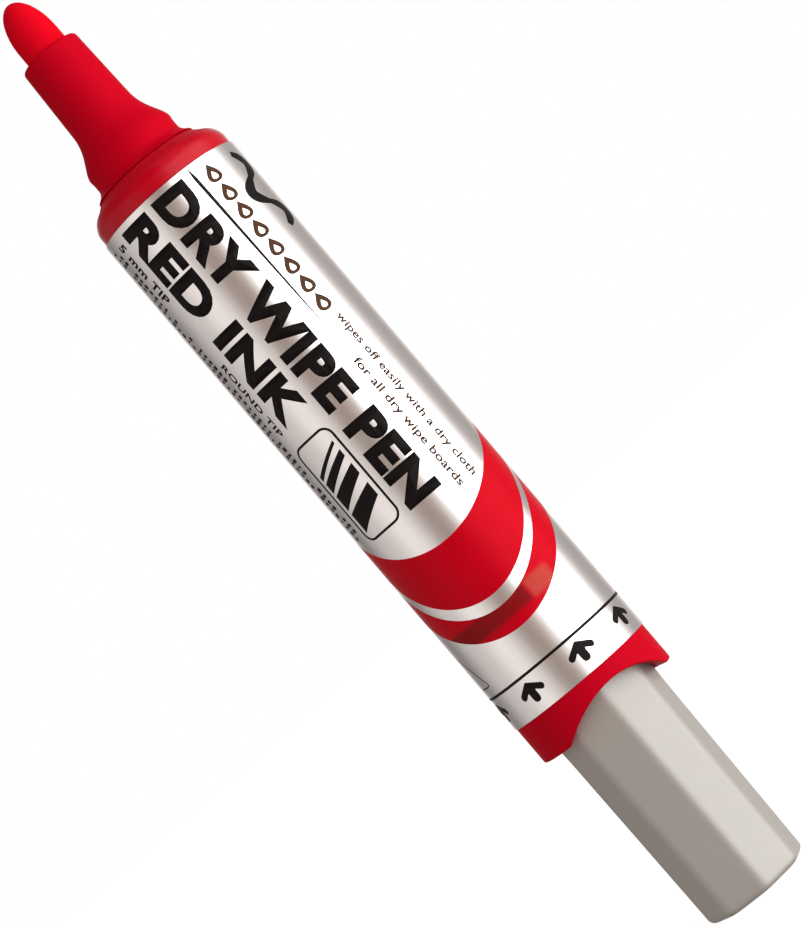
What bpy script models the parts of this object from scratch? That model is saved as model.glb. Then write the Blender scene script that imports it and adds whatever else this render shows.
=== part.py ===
"""Pump-action whiteboard marker without its cap.

The marker stands upright on the flat end of its pump button. +Z runs along
its axis towards the writing tip, and the origin is the centre of the button's
end face. Outlines are written in millimetres and built in metres. Angles are
measured about +Z, from the front (-Y) towards the right-hand side (+X).
"""
import math

import bpy
import bmesh

MM = 0.001

# Facets around a turned piece.
FINE = 40
PLAIN = 24
SMALL = 20

# Working clearances, all on the radius or along the axis.
FIT_GAP = 0.15
SEAT_GAP = 0.3
SEAL_GAP = 0.08

# Whole object.
TOTAL_LENGTH = 125.4
LABEL_RADIUS = 9.0
LABEL_THICKNESS = 0.08
LABEL_BOTTOM = 29.7
LABEL_TOP = 98.05

# Barrel, the tube that holds the ink.
BARREL_RADIUS = 8.8
BARREL_BORE = 7.7
BARREL_BOTTOM = 30.3
BARREL_TOP = 97.5

# Nib: a round-nosed rod with a thinner tail.
NIB_RADIUS = 2.6
NIB_NOSE_LENGTH = 5.1
NIB_TAIL_RADIUS = 1.5
NIB_TAIL_BOTTOM = 91.5
NIB_SHOULDER = 104.2

# Nozzle: holds the nib, flares to the cap's seal, and ends in a thin flange.
NOZZLE_TOP = 118.45
NOZZLE_TIP_RADIUS = 3.63
NOZZLE_NECK_RADIUS = 3.94
NOZZLE_NECK_BOTTOM = 109.7
NOZZLE_RIDGE_RADIUS = 5.66
NOZZLE_RIDGE_Z = 104.75
NOZZLE_LAND_RADIUS = 5.59
NOZZLE_LAND_TOP = 104.2
FLANGE_RADIUS = 6.55
FLANGE_TOP = 102.4
FLANGE_BOTTOM = 101.95
SPIGOT_RADIUS = 5.35
SPIGOT_BOTTOM = 91.0
NIB_BORE = 2.72
BUFFER_CHAMBER = 4.3
CHAMBER_TOP = 102.3

# Front collar: the domed shoulder that plugs the barrel.
COLLAR_BORE = 5.5
COLLAR_RADIUS = 8.79
COLLAR_STEP = 97.8
COLLAR_PLUG_RADIUS = 7.6
COLLAR_PLUG_BOTTOM = 82.3
DOME_CENTRE = (6.05, 99.1)
DOME_SIZE = (2.74, 2.42)
DOME_MOUTH_RADIUS = 6.35

# Valve between the ink and the nib.
HOUSING_BOTTOM = 82.5
HOUSING_TOP = 90.6
HOUSING_FLOOR = 85.0
HOUSING_CHAMBER = 3.4
VALVE_PORT = 1.3
VALVE_PIN_RADIUS = 0.9
VALVE_HEAD_RADIUS = 2.35
VALVE_HEAD_BOTTOM = 85.6
VALVE_HEAD_TOP = 86.5
VALVE_SPRING_RADIUS = 1.6
VALVE_SPRING_TOP = 89.5
CAGE_BOTTOM = 89.65
CAGE_TOP = 90.25

# Rear collar: a skirt around the pump button, cut across by a round cutter.
SKIRT_RADIUS = 8.85
SKIRT_BORE = 7.05
SKIRT_BOTTOM = 24.95
SKIRT_TOP = 30.0
SKIRT_PLUG_TOP = 35.5
SCALLOP_DEPTH = 2.85
SCALLOP_ANGLE = math.radians(15.0)
SCALLOP_CUTTER_RADIUS = 10.02
SKIRT_FACETS = 72

# Pump button: a hollow octagonal key with rounded edges.
BUTTON_TWIST = math.radians(5.8)
BUTTON_EDGE_RADIUS = 1.1
BUTTON_END_ROUND = 0.75
BUTTON_SECTIONS = ((14.0, 6.76), (23.0, 6.88), (25.5, 6.98), (35.4, 6.98))
BUTTON_END_CORNER = 6.61
BUTTON_BORE = 5.2
BUTTON_FLOOR = 1.6
BUTTON_NECK_RADIUS = 5.95
BUTTON_NECK = (35.6, 37.2)
BUTTON_LIP_RADIUS = 6.5
BUTTON_TOP = 38.3
BOSS_RADIUS = 2.6
BOSS_BORE = 1.5
BOSS_TOP = 8.0

# Pump: rod, piston, cylinder and the plug that closes the ink tank.
ROD_RADIUS = 1.35
ROD_TOP = 24.0
PISTON_RADIUS = 3.4
PISTON_BOTTOM = 24.4
PISTON_TOP = 27.0
PISTON_HUB_BOTTOM = 19.0
PISTON_HUB_RADIUS = 2.4
CYLINDER_RADIUS = 4.5
CYLINDER_BORE = 3.55
CYLINDER_BOTTOM = 14.0
CYLINDER_TOP = 47.5
PLUG_RADIUS = 7.55
PLUG_BOTTOM = 45.0
PLUG_FLOOR = 47.8
PLUG_TOP = 52.0
PLUG_PORT = 1.2
PUMP_SPRING_RADIUS = 2.9

# Rubber rings as (height, radius of the ring, radius of its section).
NOZZLE_SEAL = (96.5, 5.18, 0.22)
HOUSING_SEAL = (86.7, 5.18, 0.22)
PLUG_SEAL = (49.9, 7.32, 0.24)
PISTON_SEAL = (25.7, 3.14, 0.26)
GROOVE_ROOM = 0.2

OCTAGON = 8
HALF_FACET = math.pi / OCTAGON
CIRCLE = 2.0 * math.pi

# Colour, roughness and metallic value of each finish.
FINISHES = {
    "red_plastic": ((0.68, 0.0, 0.012), 0.28, 0.0),
    "grey_plastic": ((0.52, 0.48, 0.45), 0.35, 0.0),
    "foil": ((0.78, 0.75, 0.73), 0.28, 0.85),
    "felt": ((0.68, 0.0, 0.012), 0.85, 0.0),
    "natural_plastic": ((0.82, 0.81, 0.78), 0.45, 0.0),
    "fibre": ((0.55, 0.05, 0.06), 0.95, 0.0),
    "rubber": ((0.03, 0.03, 0.03), 0.7, 0.0),
    "steel": ((0.6, 0.6, 0.62), 0.3, 1.0),
}


def clear_scene():
    for item in list(bpy.data.objects):
        bpy.data.objects.remove(item, do_unlink=True)


def make_finishes():
    made = {}
    for name, (colour, roughness, metallic) in FINISHES.items():
        material = bpy.data.materials.new(name)
        material.use_nodes = True
        shader = material.node_tree.nodes["Principled BSDF"]
        shader.inputs["Base Color"].default_value = (*colour, 1.0)
        shader.inputs["Roughness"].default_value = roughness
        shader.inputs["Metallic"].default_value = metallic
        material.diffuse_color = (*colour, 1.0)
        made[name] = material
    return made


def place(radius, angle, z):
    """A point at an angle from the front, in metres."""
    return (radius * math.sin(angle) * MM, -radius * math.cos(angle) * MM, z * MM)


def even_angles(count):
    return [CIRCLE * step / count for step in range(count)]


def add_solid(name, loops, finish, ring=False, smooth=30.0):
    """Skin a stack of loops. A loop of one point closes an end of the stack."""
    mesh = bpy.data.meshes.new(name)
    shell = bmesh.new()
    rows = [[shell.verts.new(point) for point in loop] for loop in loops]
    if ring:
        rows.append(rows[0])
    for low, high in zip(rows, rows[1:]):
        count = max(len(low), len(high))
        for step in range(count):
            after = (step + 1) % count
            corners = [low[step % len(low)], low[after % len(low)],
                       high[after % len(high)], high[step % len(high)]]
            shell.faces.new(list(dict.fromkeys(corners)))
    bmesh.ops.recalc_face_normals(shell, faces=shell.faces)
    shell.to_mesh(mesh)
    shell.free()
    mesh.shade_smooth()
    mesh.set_sharp_from_angle(angle=math.radians(smooth))
    mesh.materials.append(finish)
    solid = bpy.data.objects.new(name, mesh)
    bpy.context.scene.collection.objects.link(solid)
    return solid


def add_turned(name, outline, finish, facets=PLAIN, ring=False):
    """Turn an outline of (radius, z) points about the marker's axis."""
    angles = even_angles(facets)
    loops = []
    for radius, z in outline:
        spread = angles if radius > 0.0 else [0.0]
        loops.append([place(radius, angle, z) for angle in spread])
    return add_solid(name, loops, finish, ring)


def add_tube(name, outer, bore, bottom, top, finish, facets=PLAIN):
    outline = [(outer, bottom), (outer, top), (bore, top), (bore, bottom)]
    return add_turned(name, outline, finish, facets, ring=True)


def add_seal(name, seal, finish):
    """A rubber ring of round section."""
    z, radius, section = seal
    outline = [(radius + section * math.cos(turn), z + section * math.sin(turn))
               for turn in even_angles(6)]
    return add_turned(name, outline, finish, PLAIN, ring=True)


def add_coil(name, radius, wire, bottom, top, turns, finish):
    """A round-wire compression spring, measured over its outer coils."""
    steps_per_turn = 12
    sides = 5
    steps = turns * steps_per_turn
    rise = (top - bottom - 2.0 * wire) / steps
    slope = math.atan2(rise * steps_per_turn, CIRCLE * radius)
    loops = []
    for step in range(steps + 1):
        angle = CIRCLE * step / steps_per_turn
        centre_z = bottom + wire + rise * step
        loop = []
        for side in range(sides):
            turn = CIRCLE * side / sides
            lift = wire * math.sin(turn)
            lag = lift * math.sin(slope) / radius
            loop.append(place(radius + wire * math.cos(turn), angle - lag,
                              centre_z + lift * math.cos(slope)))
        loops.append(loop)
    first = place(radius, 0.0, bottom + wire)
    last = place(radius, CIRCLE * turns, top - wire)
    return add_solid(name, [[first], *loops, [last]], finish, smooth=60.0)


def arc(centre, size, start, end, steps):
    """Points on an elliptical arc, angles in degrees from the +radius axis."""
    points = []
    for step in range(steps + 1):
        turn = math.radians(start + (end - start) * step / steps)
        points.append((centre[0] + size[0] * math.cos(turn),
                       centre[1] + size[1] * math.sin(turn)))
    return points


def flare(start, start_pull, end_pull, end, steps):
    """Points on a cubic curve from one outline point to another."""
    points = []
    for step in range(steps + 1):
        t = step / steps
        s = 1.0 - t
        points.append(tuple(s ** 3 * a + 3.0 * s * s * t * b + 3.0 * s * t * t * c + t ** 3 * d
                            for a, b, c, d in zip(start, start_pull, end_pull, end)))
    return points


def groove(wall, seal):
    """Outline points of the square groove for a rubber ring, bottom to top."""
    z, radius, section = seal
    floor = radius - section - SEAL_GAP
    half = section + GROOVE_ROOM
    return [(wall, z - half), (floor, z - half), (floor, z + half), (wall, z + half)]


def make_nib(finish):
    nose_bottom = TOTAL_LENGTH - NIB_NOSE_LENGTH
    nose = arc((0.0, nose_bottom), (NIB_RADIUS, NIB_NOSE_LENGTH), 0.0, 76.0, 5)
    outline = [(0.0, NIB_TAIL_BOTTOM), (NIB_TAIL_RADIUS, NIB_TAIL_BOTTOM),
               (NIB_TAIL_RADIUS, NIB_SHOULDER - 1.0), (NIB_RADIUS, NIB_SHOULDER),
               *nose, (0.0, TOTAL_LENGTH)]
    return add_turned("nib", outline, finish, PLAIN)


def make_nozzle(finish):
    tip_round = 0.4
    tip = arc((NOZZLE_TIP_RADIUS - tip_round, NOZZLE_TOP - tip_round),
              (tip_round, tip_round), 90.0, 0.0, 2)
    sweep = flare((NOZZLE_NECK_RADIUS, NOZZLE_NECK_BOTTOM),
                  (NOZZLE_NECK_RADIUS + 0.06, NOZZLE_NECK_BOTTOM - 2.35),
                  (NOZZLE_RIDGE_RADIUS - 0.045, NOZZLE_RIDGE_Z + 1.1),
                  (NOZZLE_RIDGE_RADIUS, NOZZLE_RIDGE_Z), 6)
    foot = 0.15
    flange = [(NOZZLE_LAND_RADIUS, NOZZLE_LAND_TOP), (NOZZLE_LAND_RADIUS, FLANGE_TOP + foot),
              (NOZZLE_LAND_RADIUS + foot, FLANGE_TOP),
              (FLANGE_RADIUS - 0.14, FLANGE_TOP), (FLANGE_RADIUS, FLANGE_TOP - 0.3),
              (FLANGE_RADIUS - 0.14, FLANGE_BOTTOM), (SPIGOT_RADIUS, FLANGE_BOTTOM)]
    seal_groove = list(reversed(groove(SPIGOT_RADIUS, NOZZLE_SEAL)))
    bore = [(BUFFER_CHAMBER, SPIGOT_BOTTOM), (BUFFER_CHAMBER, CHAMBER_TOP - 1.2),
            (NIB_BORE, CHAMBER_TOP + 0.9)]
    outline = [(NIB_BORE, NOZZLE_TOP), *tip, *sweep, *flange, *seal_groove,
               (SPIGOT_RADIUS, SPIGOT_BOTTOM), *bore]
    return add_turned("nozzle", outline, finish, FINE, ring=True)


def make_nib_buffer(finish):
    return add_tube("nib_buffer", BUFFER_CHAMBER - FIT_GAP, NIB_TAIL_RADIUS + FIT_GAP,
                    SPIGOT_BOTTOM + 0.6, CHAMBER_TOP - 1.5, finish, SMALL)


def make_front_collar(finish):
    dome_start = math.degrees(math.acos((DOME_MOUTH_RADIUS - DOME_CENTRE[0]) / DOME_SIZE[0]))
    dome = arc(DOME_CENTRE, DOME_SIZE, dome_start, 0.0, 6)
    lip_z = dome[0][1]
    outline = [(COLLAR_BORE, lip_z), *dome, (COLLAR_RADIUS, COLLAR_STEP),
               (COLLAR_PLUG_RADIUS, COLLAR_STEP), (COLLAR_PLUG_RADIUS, COLLAR_PLUG_BOTTOM),
               (COLLAR_BORE, COLLAR_PLUG_BOTTOM)]
    return add_turned("front_collar", outline, finish, FINE, ring=True)


def make_valve_housing(finish):
    seal_groove = groove(SPIGOT_RADIUS, HOUSING_SEAL)
    outline = [(VALVE_PORT, HOUSING_BOTTOM), (SPIGOT_RADIUS, HOUSING_BOTTOM), *seal_groove,
               (SPIGOT_RADIUS, HOUSING_TOP), (HOUSING_CHAMBER, HOUSING_TOP),
               (HOUSING_CHAMBER, HOUSING_FLOOR), (VALVE_PORT, HOUSING_FLOOR)]
    return add_turned("valve_housing", outline, finish, PLAIN, ring=True)


def make_valve_stem(finish):
    outline = [(0.0, HOUSING_BOTTOM - 1.2), (VALVE_PIN_RADIUS, HOUSING_BOTTOM - 1.2),
               (VALVE_PIN_RADIUS, VALVE_HEAD_BOTTOM), (VALVE_HEAD_RADIUS, VALVE_HEAD_BOTTOM),
               (VALVE_HEAD_RADIUS, VALVE_HEAD_TOP), (VALVE_PIN_RADIUS, VALVE_HEAD_TOP),
               (VALVE_PIN_RADIUS, CAGE_BOTTOM - 1.5), (0.0, CAGE_BOTTOM - 1.5)]
    return add_turned("valve_stem", outline, finish, SMALL)


def make_valve_washer(finish):
    return add_tube("valve_washer", VALVE_HEAD_RADIUS - 0.1, VALVE_PIN_RADIUS + 0.1,
                    HOUSING_FLOOR + 0.15, VALVE_HEAD_BOTTOM - 0.1, finish, SMALL)


def make_valve_cage(finish):
    """The disc that holds the valve spring, notched so that ink runs past it."""
    spokes = 4
    steps = 6
    rim = HOUSING_CHAMBER - FIT_GAP
    hub = VALVE_SPRING_RADIUS + 0.6
    outside = [rim if step % steps < steps // 2 else hub for step in range(spokes * steps)]
    angles = even_angles(len(outside))
    inside = [VALVE_PIN_RADIUS + 0.2] * len(outside)
    loops = [[place(r, a, z) for r, a in zip(radii, angles)]
             for radii, z in ((outside, CAGE_BOTTOM), (outside, CAGE_TOP),
                              (inside, CAGE_TOP), (inside, CAGE_BOTTOM))]
    return add_solid("valve_cage", loops, finish, ring=True)


def make_tank_plug(finish):
    seal_groove = groove(PLUG_RADIUS, PLUG_SEAL)
    outline = [(CYLINDER_RADIUS + FIT_GAP, PLUG_BOTTOM), (PLUG_RADIUS, PLUG_BOTTOM),
               *seal_groove, (PLUG_RADIUS, PLUG_TOP), (PLUG_PORT, PLUG_TOP),
               (PLUG_PORT, PLUG_FLOOR), (CYLINDER_RADIUS + FIT_GAP, PLUG_FLOOR)]
    return add_turned("tank_plug", outline, finish, PLAIN, ring=True)


def make_outlet_flap(finish):
    outline = [(0.0, PLUG_FLOOR + 1.0), (0.7, PLUG_FLOOR + 1.0), (0.7, PLUG_TOP + 0.15),
               (2.6, PLUG_TOP + 0.15), (2.3, PLUG_TOP + 0.6), (0.0, PLUG_TOP + 0.8)]
    return add_turned("outlet_flap", outline, finish, SMALL)


def scallop(radius, angle):
    """How far the cutter lifts the skirt's edge at a point, 0 on its two ears."""
    across = radius * math.sin(angle - SCALLOP_ANGLE)
    reach = math.sqrt(SCALLOP_CUTTER_RADIUS ** 2 - across ** 2)
    return max(0.0, reach - (SCALLOP_CUTTER_RADIUS - SCALLOP_DEPTH))


def make_rear_collar(finish):
    edge_round = 0.25
    steps = 3
    land = SKIRT_RADIUS - edge_round - SKIRT_BORE
    edge = [(SKIRT_BORE + land * step / steps, 0.0) for step in range(steps + 1)]
    edge.append((SKIRT_RADIUS, edge_round))
    rest = [(SKIRT_RADIUS, SKIRT_TOP), (COLLAR_PLUG_RADIUS, SKIRT_TOP),
            (COLLAR_PLUG_RADIUS, SKIRT_PLUG_TOP), (SKIRT_BORE, SKIRT_PLUG_TOP)]
    angles = even_angles(SKIRT_FACETS)
    loops = [[place(r, a, SKIRT_BOTTOM + lift + scallop(r, a)) for a in angles]
             for r, lift in edge]
    loops += [[place(r, a, z) for a in angles] for r, z in rest]
    return add_solid("rear_collar", loops, finish, ring=True)


def octagon(corner_radius, edge_radius=BUTTON_EDGE_RADIUS):
    """Polar points of an octagon whose sharp corners would lie on corner_radius."""
    inset = edge_radius / math.cos(HALF_FACET)
    points = []
    for corner in range(OCTAGON):
        heading = BUTTON_TWIST + corner * 2.0 * HALF_FACET
        for step in (-1, 0, 1):
            turn = heading + step * HALF_FACET
            x = (corner_radius - inset) * math.sin(heading) + edge_radius * math.sin(turn)
            y = (corner_radius - inset) * math.cos(heading) + edge_radius * math.cos(turn)
            points.append((math.hypot(x, y), math.atan2(x, y)))
    return points


def make_pump_button(finish):
    round_centre = BUTTON_END_CORNER - BUTTON_END_ROUND
    foot = [(z, r, BUTTON_EDGE_RADIUS - (BUTTON_END_CORNER - r) * 0.9)
            for r, z in arc((round_centre, BUTTON_END_ROUND),
                            (BUTTON_END_ROUND, BUTTON_END_ROUND), -90.0, 0.0, 3)]
    sections = foot + [(z, r, BUTTON_EDGE_RADIUS) for z, r in BUTTON_SECTIONS]
    angles = [angle for _, angle in octagon(BUTTON_SECTIONS[-1][1])]
    loops = [[(0.0, 0.0, 0.0)]]
    loops += [[place(r, a, z) for r, a in octagon(corner, edge)]
              for z, corner, edge in sections]
    turned = [(BUTTON_NECK_RADIUS, BUTTON_NECK[0]), (BUTTON_NECK_RADIUS, BUTTON_NECK[1]),
              (BUTTON_LIP_RADIUS, BUTTON_NECK[1]), (BUTTON_LIP_RADIUS, BUTTON_TOP),
              (BUTTON_BORE, BUTTON_TOP), (BUTTON_BORE, BUTTON_FLOOR),
              (BOSS_RADIUS, BUTTON_FLOOR), (BOSS_RADIUS, BOSS_TOP),
              (BOSS_BORE, BOSS_TOP), (BOSS_BORE, BUTTON_FLOOR)]
    loops += [[place(r, a, z) for a in angles] for r, z in turned]
    loops.append([(0.0, 0.0, BUTTON_FLOOR * MM)])
    return add_solid("pump_button", loops, finish)


def make_pump_rod(finish):
    outline = [(0.0, BUTTON_FLOOR + SEAT_GAP), (ROD_RADIUS, BUTTON_FLOOR + SEAT_GAP),
               (ROD_RADIUS, ROD_TOP), (0.0, ROD_TOP)]
    return add_turned("pump_rod", outline, finish, SMALL)


def make_piston(finish):
    seal_groove = groove(PISTON_RADIUS, PISTON_SEAL)
    outline = [(0.0, ROD_TOP + SEAT_GAP), (BOSS_BORE, ROD_TOP + SEAT_GAP),
               (BOSS_BORE, PISTON_HUB_BOTTOM), (PISTON_HUB_RADIUS, PISTON_HUB_BOTTOM),
               (PISTON_HUB_RADIUS, PISTON_BOTTOM), (PISTON_RADIUS, PISTON_BOTTOM),
               *seal_groove, (PISTON_RADIUS, PISTON_TOP), (0.0, PISTON_TOP)]
    return add_turned("piston", outline, finish, PLAIN)


def make_retaining_ring(finish):
    """The split-free ring that keeps the button from leaving the collar."""
    return add_tube("retaining_ring", BARREL_BORE - 0.2, BUTTON_NECK_RADIUS + FIT_GAP,
                    BUTTON_NECK[0] + FIT_GAP, BUTTON_NECK[1] - FIT_GAP, finish, PLAIN)


def make_fixed_pieces(finish):
    make_nozzle(finish["red_plastic"])
    make_nib(finish["felt"])
    make_nib_buffer(finish["fibre"])
    add_seal("nozzle_seal", NOZZLE_SEAL, finish["rubber"])
    make_front_collar(finish["red_plastic"])
    make_valve_housing(finish["natural_plastic"])
    add_seal("housing_seal", HOUSING_SEAL, finish["rubber"])
    add_coil("valve_spring", VALVE_SPRING_RADIUS, 0.2, VALVE_HEAD_TOP + 0.1,
             VALVE_SPRING_TOP, 4, finish["steel"])
    make_valve_cage(finish["natural_plastic"])
    add_tube("barrel", BARREL_RADIUS, BARREL_BORE, BARREL_BOTTOM, BARREL_TOP,
             finish["natural_plastic"], FINE)
    add_tube("label", LABEL_RADIUS, LABEL_RADIUS - LABEL_THICKNESS, LABEL_BOTTOM,
             LABEL_TOP, finish["foil"], FINE)
    make_rear_collar(finish["red_plastic"])
    make_tank_plug(finish["natural_plastic"])
    add_seal("plug_seal", PLUG_SEAL, finish["rubber"])
    make_outlet_flap(finish["rubber"])
    add_tube("pump_cylinder", CYLINDER_RADIUS, CYLINDER_BORE, CYLINDER_BOTTOM,
             CYLINDER_TOP, finish["natural_plastic"], PLAIN)
    add_coil("pump_spring", PUMP_SPRING_RADIUS, 0.3, PISTON_TOP + SEAL_GAP,
             PLUG_FLOOR - SEAL_GAP, 9, finish["steel"])


def make_moving_pieces(finish):
    """Pieces that slide along the axis, each set under an empty on that axis."""
    slides = {
        "pump_slide_axis": [
            make_pump_button(finish["grey_plastic"]),
            make_retaining_ring(finish["natural_plastic"]),
            make_pump_rod(finish["natural_plastic"]),
            make_piston(finish["natural_plastic"]),
            add_seal("piston_seal", PISTON_SEAL, finish["rubber"]),
        ],
        "valve_slide_axis": [
            make_valve_stem(finish["natural_plastic"]),
            make_valve_washer(finish["rubber"]),
        ],
    }
    for name, pieces in slides.items():
        axis = bpy.data.objects.new(name, None)
        bpy.context.scene.collection.objects.link(axis)
        for piece in pieces:
            piece.parent = axis


def main():
    clear_scene()
    finish = make_finishes()
    make_fixed_pieces(finish)
    make_moving_pieces(finish)


main()
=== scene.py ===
"""Looks for a pump-action whiteboard marker that stands on its pump button.

Outlines are written in millimetres as (distance from the axis, height), and
angles in degrees about the axis, from the printed side (-Y) towards +X.
"""

import math

import bmesh
import bpy
from mathutils import Matrix, Vector, noise


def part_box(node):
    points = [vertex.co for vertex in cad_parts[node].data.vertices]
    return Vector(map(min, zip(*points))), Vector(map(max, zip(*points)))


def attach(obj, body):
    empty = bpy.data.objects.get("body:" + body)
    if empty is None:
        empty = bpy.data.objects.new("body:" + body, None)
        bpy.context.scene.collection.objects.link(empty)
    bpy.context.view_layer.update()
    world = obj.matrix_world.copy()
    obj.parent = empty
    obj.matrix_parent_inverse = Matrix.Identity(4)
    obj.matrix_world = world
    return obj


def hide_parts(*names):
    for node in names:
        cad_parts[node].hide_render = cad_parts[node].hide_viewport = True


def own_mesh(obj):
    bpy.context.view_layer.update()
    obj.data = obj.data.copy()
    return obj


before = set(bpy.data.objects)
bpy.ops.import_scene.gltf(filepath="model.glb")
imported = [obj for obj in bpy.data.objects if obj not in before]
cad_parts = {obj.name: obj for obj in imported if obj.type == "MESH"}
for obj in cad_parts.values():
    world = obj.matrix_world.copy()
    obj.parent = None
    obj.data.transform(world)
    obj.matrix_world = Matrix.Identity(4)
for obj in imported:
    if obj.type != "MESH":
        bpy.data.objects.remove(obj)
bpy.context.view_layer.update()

MM = 0.001
CIRCLE = 2.0 * math.pi
FINE = 192
COLLECTION = bpy.context.scene.collection


# ---------------------------------------------------------------- node writing

class Wire:
    """One output socket. Arithmetic on it adds Math nodes to its sheet."""

    def __init__(self, sheet, socket):
        self.sheet = sheet
        self.socket = socket

    def maths(self, operation, *values):
        inputs = dict(enumerate(values))
        return self.sheet.add("ShaderNodeMath", {"operation": operation}, inputs)

    def __add__(self, other):
        return self.maths("ADD", self, other)

    __radd__ = __add__

    def __sub__(self, other):
        return self.maths("SUBTRACT", self, other)

    def __rsub__(self, other):
        return self.maths("SUBTRACT", other, self)

    def __mul__(self, other):
        return self.maths("MULTIPLY", self, other)

    __rmul__ = __mul__

    def __truediv__(self, other):
        return self.maths("DIVIDE", self, other)

    def __neg__(self):
        return self * -1.0

    def __abs__(self):
        return self.maths("ABSOLUTE", self)

    def over(self, edge):
        return self.maths("GREATER_THAN", self, edge)

    def sine(self):
        return self.maths("SINE", self)

    def cosine(self):
        return self.maths("COSINE", self)

    def rise(self, low, high):
        """0 below low, 1 above high, and a smooth slope between them."""
        settings = {"interpolation_type": "SMOOTHSTEP"}
        inputs = {"Value": self, "From Min": low, "From Max": high}
        return self.sheet.add("ShaderNodeMapRange", settings, inputs)


class Sheet:
    """A node tree being written, for a material, the world or a geometry tree."""

    def __init__(self, tree):
        self.tree = tree
        tree.nodes.clear()

    def add(self, kind, settings=None, inputs=None, output=0):
        """Adds a node, applies its settings, then sets or links its inputs."""
        node = self.tree.nodes.new(kind)
        for key, value in (settings or {}).items():
            setattr(node, key, value)
        for key, value in (inputs or {}).items():
            if isinstance(value, Wire):
                self.tree.links.new(value.socket, node.inputs[key])
            else:
                node.inputs[key].default_value = value
        if not len(node.outputs):
            return node
        return Wire(self, node.outputs[output])

    def mix(self, factor, first, second, blend="MIX"):
        """A colour between two colours."""
        settings = {"data_type": "RGBA", "blend_type": blend}
        wires = {0: factor, 6: first, 7: second}
        return self.add("ShaderNodeMix", settings, wires, output=2)

    def split(self, vector):
        node = self.add("ShaderNodeSeparateXYZ", None, {0: vector}).socket.node
        return [Wire(self, socket) for socket in node.outputs]

    def join(self, x, y, z):
        return self.add("ShaderNodeCombineXYZ", None, {0: x, 1: y, 2: z})


class Finish(Sheet):
    """A material being written, in object space measured in millimetres."""

    def __init__(self, name):
        self.material = bpy.data.materials.new(name)
        self.material.use_nodes = True
        super().__init__(self.material.node_tree)
        metres = self.add("ShaderNodeTexCoord", None, None, output="Object")
        inputs = {0: metres, "Scale": 1.0 / MM}
        scaled = self.add("ShaderNodeVectorMath", {"operation": "SCALE"}, inputs)
        self.x, self.y, self.z = self.split(scaled)

    def turn(self):
        """Angle about the axis in degrees, 0 on the printed side."""
        settings = {"operation": "ARCTAN2"}
        angle = self.add("ShaderNodeMath", settings, {0: self.x, 1: -self.y})
        return angle * math.degrees(1.0)

    def grain(self, size, detail=3.0, roughness=0.5, stretch=1.0):
        """Noise from 0 to 1 with grains of a size in mm, drawn out along the axis."""
        where = self.join(self.x, self.y, self.z / stretch)
        inputs = {"Vector": where, "Scale": 1.0 / size, "Detail": detail, "Roughness": roughness}
        return self.add("ShaderNodeTexNoise", None, inputs)

    def bump(self, height, depth, below=None):
        """A normal raised by a height from 0 to 1, depth in mm."""
        inputs = {"Height": height, "Distance": depth * MM, "Strength": 1.0}
        if below:
            inputs["Normal"] = below
        return self.add("ShaderNodeBump", None, inputs)

    def close(self, **sockets):
        """Ends the material in one Principled shader and returns the material."""
        inputs = {key.replace("_", " "): value for key, value in sockets.items()}
        shader = self.add("ShaderNodeBsdfPrincipled", None, inputs)
        self.add("ShaderNodeOutputMaterial", None, {"Surface": shader})
        return self.material


# ---------------------------------------------------------------- finishes

def moulded_plastic(name, dark, light, gloss, specular, matt_from=None):
    """Injection-moulded plastic: faint clouding, fine texture and handling marks.
    It may turn matt above a height in mm."""
    f = Finish(name)
    cloud = f.grain(4.0, 2.0)
    grit = f.grain(0.09, 2.0, 0.6)
    flow = f.grain(0.5, 3.0, 0.5, stretch=9.0)
    rubbed = f.grain(1.6, 4.0, 0.6).rise(0.52, 0.74)
    colour = f.mix(cloud * 0.6 + flow * 0.4, dark, light)
    roughness = gloss + grit * 0.05 + rubbed * 0.09
    if matt_from:
        roughness = roughness + f.z.rise(matt_from, matt_from + 1.2) * 0.45
    height = grit * 0.55 + flow * 0.45
    return f.close(Base_Color=colour, Roughness=roughness, Specular_IOR_Level=specular,
                   Normal=f.bump(height, 0.004))


def felt_finish():
    """Bullet nib: bonded fibres soaked with ink, a little wetter at the point."""
    f = Finish("felt_nib")
    fibres = f.grain(0.07, 4.0, 0.7, stretch=5.0)
    clumps = f.grain(0.55, 3.0, 0.55, stretch=1.8)
    wet = f.z.rise(NIB_TOP - 2.4, NIB_TOP - 0.3)
    shade = fibres * 0.45 + clumps * 0.55
    colour = f.mix(shade, (0.58, 0.0005, 0.009, 1.0), (0.80, 0.002, 0.014, 1.0))
    height = fibres * 0.7 + clumps * 0.3
    return f.close(Base_Color=colour, Roughness=0.85 - wet * 0.2, Specular_IOR_Level=0.03,
                   Normal=f.bump(height, 0.03))


def film_finish():
    """Silver label film: mirror coat under lacquer, drawn in fine lines along the barrel."""
    f = Finish("silver_film")
    drawn = f.grain(0.10, 3.0, 0.6, stretch=40.0)
    slack = f.grain(3.2, 2.0, 0.5, stretch=3.0)
    specks = f.grain(0.12, 2.0, 0.7).rise(0.70, 0.82)
    colour = f.mix(drawn, (0.74, 0.715, 0.705, 1.0), (0.83, 0.81, 0.80, 1.0))
    colour = f.mix(specks * 0.25, colour, (0.45, 0.42, 0.40, 1.0))
    roughness = 0.17 + drawn * 0.05 + specks * 0.1
    normal = f.bump(drawn, 0.0012, f.bump(slack, 0.035))
    return f.close(Base_Color=colour, Metallic=0.95, Roughness=roughness, Normal=normal)


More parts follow.
